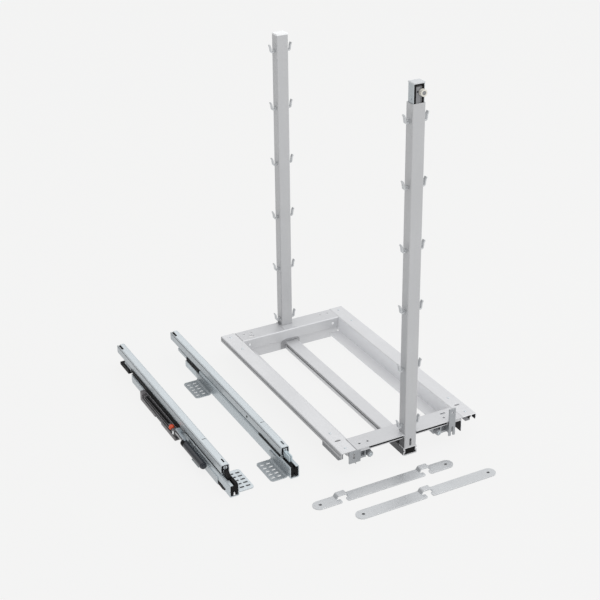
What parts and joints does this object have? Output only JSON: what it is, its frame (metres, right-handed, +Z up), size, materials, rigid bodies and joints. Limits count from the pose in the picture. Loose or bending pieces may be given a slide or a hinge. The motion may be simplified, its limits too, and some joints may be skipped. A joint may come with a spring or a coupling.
{
  "type": "pull-out pantry frame kit",
  "caption": "Low steel floor frame with hook-lined upright posts, ball-bearing runners with slotted feet and a soft-close unit, and loose connecting straps.",
  "frame": {"origin": "on the floor in the middle of the underside of the floor frame's centre rail", "axes": "+X to the right seen from the front, +Y towards the rear, +Z up"},
  "size_m": [0.5015, 0.701, 0.699],
  "materials": {
    "frame_steel": "satin silver-grey powder coat, fine texture, light handling wear",
    "zinc": "bright zinc plating, brushed along the length, slightly bluish",
    "black_plastic": "moulded black plastic, fine matt texture",
    "grey_plastic": "moulded grey plastic, satin",
    "white_plastic": "moulded white nylon, satin",
    "red_plastic": "moulded red-orange plastic, soft sheen",
    "bright_steel": "ground bright steel"
  },
  "bodies": {
    "kit": {"side_rail_left": "frame_steel", "side_rail_right": "frame_steel", "rear_crossmember": "frame_steel", "rear_web_plate": "frame_steel", "front_crossmember": "frame_steel", "centre_rail": "frame_steel", "flange_rivets": "zinc", "door_bracket_left": "zinc", "door_bracket_right": "zinc", "adjuster_block_left": "grey_plastic", "adjuster_block_right": "grey_plastic", "adjuster_pins": "zinc", "lock_clip_left": "grey_plastic", "lock_clip_right": "grey_plastic", "rear_upright": "frame_steel", "rear_upright_cap": "white_plastic", "rear_upright_seat": "black_plastic", "rear_upright_screw": "grey_plastic", "rear_hooks": "zinc", "front_upright": "frame_steel", "front_upright_seat": "black_plastic", "front_hooks": "zinc", "twin_loop_strap": "zinc", "single_loop_strap": "zinc", "cabinet_rail_left": "zinc", "feet_left": "zinc", "cabinet_rail_right": "zinc", "feet_right": "zinc", "damper_bracket": "zinc", "damper_housing": "black_plastic", "damper_core": "grey_plastic", "damper_rod": "bright_steel"},
    "left_intermediate": {"middle_rail_left": "zinc", "nose_cap_left": "grey_plastic", "front_clip_left": "black_plastic"},
    "left_drawer": {"drawer_rail_left": "zinc"},
    "left_lower_cage": {"lower_cage_left": "black_plastic", "lower_balls_left": "bright_steel"},
    "left_upper_cage": {"upper_cage_left": "black_plastic", "upper_balls_left": "bright_steel"},
    "right_intermediate": {"middle_rail_right": "zinc", "nose_cap_right": "black_plastic", "rear_stop": "black_plastic"},
    "right_drawer": {"drawer_rail_right": "zinc", "trigger_tab": "grey_plastic"},
    "right_lower_cage": {"lower_cage_right": "black_plastic", "lower_balls_right": "bright_steel"},
    "right_upper_cage": {"upper_cage_right": "black_plastic", "upper_balls_right": "bright_steel"},
    "soft_close": {"damper_cylinder": "black_plastic", "damper_catch": "zinc"},
    "knob": {"release_knob": "red_plastic"},
    "left_adjuster": {"adjuster_wheel_left": "zinc"},
    "right_adjuster": {"adjuster_wheel_right": "zinc"},
    "top_guide": {"guide_channel": "zinc", "guide_liner": "black_plastic", "guide_block": "grey_plastic", "guide_pin": "bright_steel", "guide_rivet": "zinc"},
    "top_roller": {"guide_roller": "white_plastic"}
  },
  "joints": [
    {"name": "left_intermediate_slide", "type": "slide", "parent": "kit", "child": "left_intermediate", "axis": [0, -1, 0], "range_m": [0, 0.215]},
    {"name": "left_drawer_slide", "type": "slide", "parent": "left_intermediate", "child": "left_drawer", "axis": [0, -1, 0], "range_m": [0, 0.215]},
    {"name": "left_lower_cage_slide", "type": "slide", "parent": "kit", "child": "left_lower_cage", "axis": [0, -1, 0], "range_m": [0, 0.1075]},
    {"name": "left_upper_cage_slide", "type": "slide", "parent": "left_intermediate", "child": "left_upper_cage", "axis": [0, -1, 0], "range_m": [0, 0.1075]},
    {"name": "right_intermediate_slide", "type": "slide", "parent": "kit", "child": "right_intermediate", "axis": [0, -1, 0], "range_m": [0, 0.215]},
    {"name": "right_drawer_slide", "type": "slide", "parent": "right_intermediate", "child": "right_drawer", "axis": [0, -1, 0], "range_m": [0, 0.215]},
    {"name": "right_lower_cage_slide", "type": "slide", "parent": "kit", "child": "right_lower_cage", "axis": [0, -1, 0], "range_m": [0, 0.1075]},
    {"name": "right_upper_cage_slide", "type": "slide", "parent": "right_intermediate", "child": "right_upper_cage", "axis": [0, -1, 0], "range_m": [0, 0.1075]},
    {"name": "soft_close_slide", "type": "slide", "parent": "kit", "child": "soft_close", "axis": [0, -1, 0], "range_m": [0, 0.04]},
    {"name": "knob_turn", "type": "hinge", "parent": "kit", "child": "knob", "pos_m": [-0.3513, 0.021, 0.016], "axis": [0, 0, 1], "range_deg": [0, 90]},
    {"name": "left_adjuster_turn", "type": "hinge", "parent": "kit", "child": "left_adjuster", "pos_m": [-0.082, -0.2425, 0.0245], "axis": [0, -1, 0], "continuous": true},
    {"name": "right_adjuster_turn", "type": "hinge", "parent": "kit", "child": "right_adjuster", "pos_m": [0.063, -0.2425, 0.0245], "axis": [0, -1, 0], "continuous": true},
    {"name": "top_guide_slide", "type": "slide", "parent": "kit", "child": "top_guide", "axis": [0, 0, 1], "range_m": [0, 0.06]},
    {"name": "top_roller_turn", "type": "hinge", "parent": "top_guide", "child": "top_roller", "pos_m": [0.005, -0.2522, 0.682], "axis": [0, -1, 0], "continuous": true}
  ],
  "couplings": [
    {"joint": "left_drawer_slide", "follows": "left_intermediate_slide", "ratio": 1},
    {"joint": "left_lower_cage_slide", "follows": "left_intermediate_slide", "ratio": 0.5},
    {"joint": "left_upper_cage_slide", "follows": "left_intermediate_slide", "ratio": 0.5},
    {"joint": "right_drawer_slide", "follows": "right_intermediate_slide", "ratio": 1},
    {"joint": "right_lower_cage_slide", "follows": "right_intermediate_slide", "ratio": 0.5},
    {"joint": "right_upper_cage_slide", "follows": "right_intermediate_slide", "ratio": 0.5}
  ]
}
